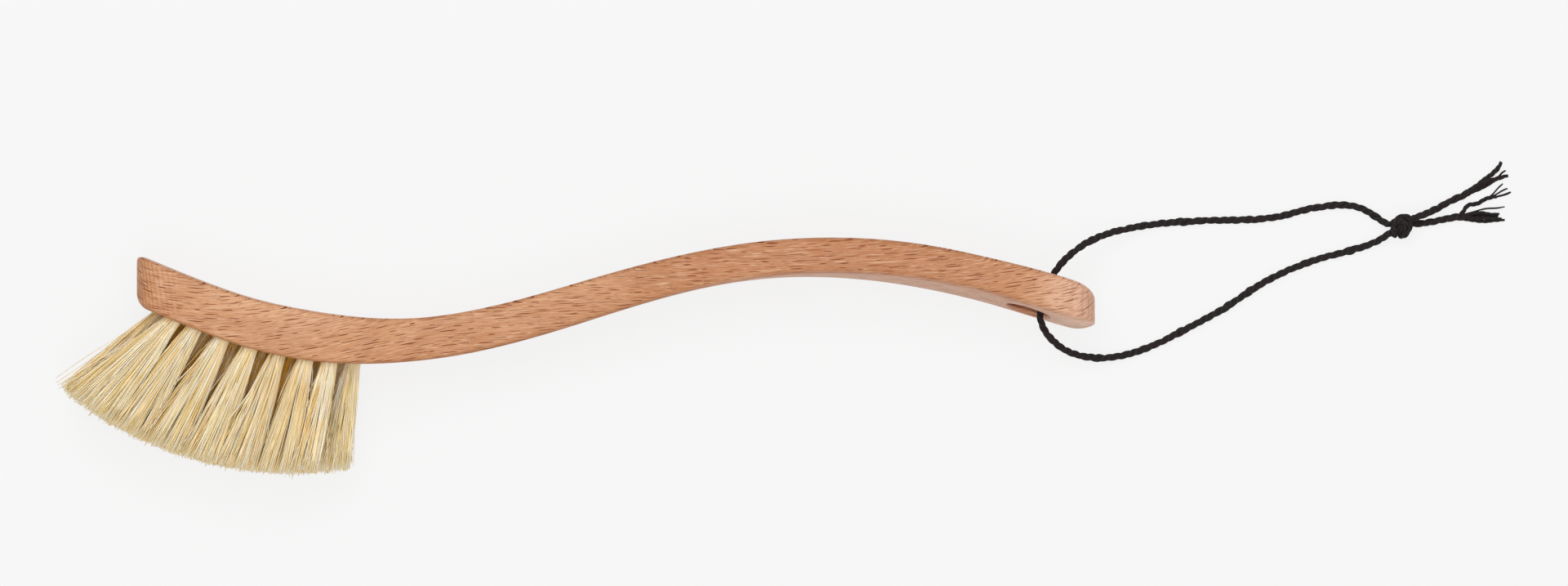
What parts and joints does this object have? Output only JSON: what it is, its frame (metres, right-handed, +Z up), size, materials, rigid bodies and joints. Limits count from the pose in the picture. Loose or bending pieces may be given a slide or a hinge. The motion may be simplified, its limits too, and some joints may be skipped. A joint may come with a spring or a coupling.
{
  "type": "dish brush",
  "caption": "Hand-held dish brush with an S-curved one-piece beech handle, rows of fanned plant-fibre tufts trimmed to an arc, and a knotted black hanging cord through a hole in the grip.",
  "frame": {"origin": "middle of the head's lower side face, on the table, 27.3 mm from the toe end, level with the middle of the head's thickness there", "axes": "+X along the brush from the toe of the head to the tip of the grip; +Y from the bristles to the back of the head; +Z up from the table, across the brush"},
  "size_m": [0.3925, 0.0836, 0.025],
  "materials": {
    "beech": "satin",
    "plant_fibre": "matt",
    "anchor_wire": "satin",
    "black_cotton": "matt"
  },
  "bodies": {
    "root": {"handle": "beech", "tuft_left_1": "plant_fibre", "tuft_left_2": "plant_fibre", "tuft_left_3": "plant_fibre", "tuft_left_4": "plant_fibre", "tuft_left_5": "plant_fibre", "tuft_left_6": "plant_fibre", "tuft_left_7": "plant_fibre", "tuft_middle_1": "plant_fibre", "tuft_middle_2": "plant_fibre", "tuft_middle_3": "plant_fibre", "tuft_middle_4": "plant_fibre", "tuft_middle_5": "plant_fibre", "tuft_middle_6": "plant_fibre", "tuft_middle_7": "plant_fibre", "tuft_middle_8": "plant_fibre", "tuft_right_1": "plant_fibre", "tuft_right_2": "plant_fibre", "tuft_right_3": "plant_fibre", "tuft_right_4": "plant_fibre", "tuft_right_5": "plant_fibre", "tuft_right_6": "plant_fibre", "tuft_right_7": "plant_fibre", "anchor_left_1": "anchor_wire", "anchor_left_2": "anchor_wire", "anchor_left_3": "anchor_wire", "anchor_left_4": "anchor_wire", "anchor_left_5": "anchor_wire", "anchor_left_6": "anchor_wire", "anchor_left_7": "anchor_wire", "anchor_middle_1": "anchor_wire", "anchor_middle_2": "anchor_wire", "anchor_middle_3": "anchor_wire", "anchor_middle_4": "anchor_wire", "anchor_middle_5": "anchor_wire", "anchor_middle_6": "anchor_wire", "anchor_middle_7": "anchor_wire", "anchor_middle_8": "anchor_wire", "anchor_right_1": "anchor_wire", "anchor_right_2": "anchor_wire", "anchor_right_3": "anchor_wire", "anchor_right_4": "anchor_wire", "anchor_right_5": "anchor_wire", "anchor_right_6": "anchor_wire", "anchor_right_7": "anchor_wire", "cord_upper": "black_cotton", "cord_lower": "black_cotton", "cord_knot": "black_cotton", "cord_tail_upper": "black_cotton", "cord_tail_lower": "black_cotton"}
  },
  "joints": []
}
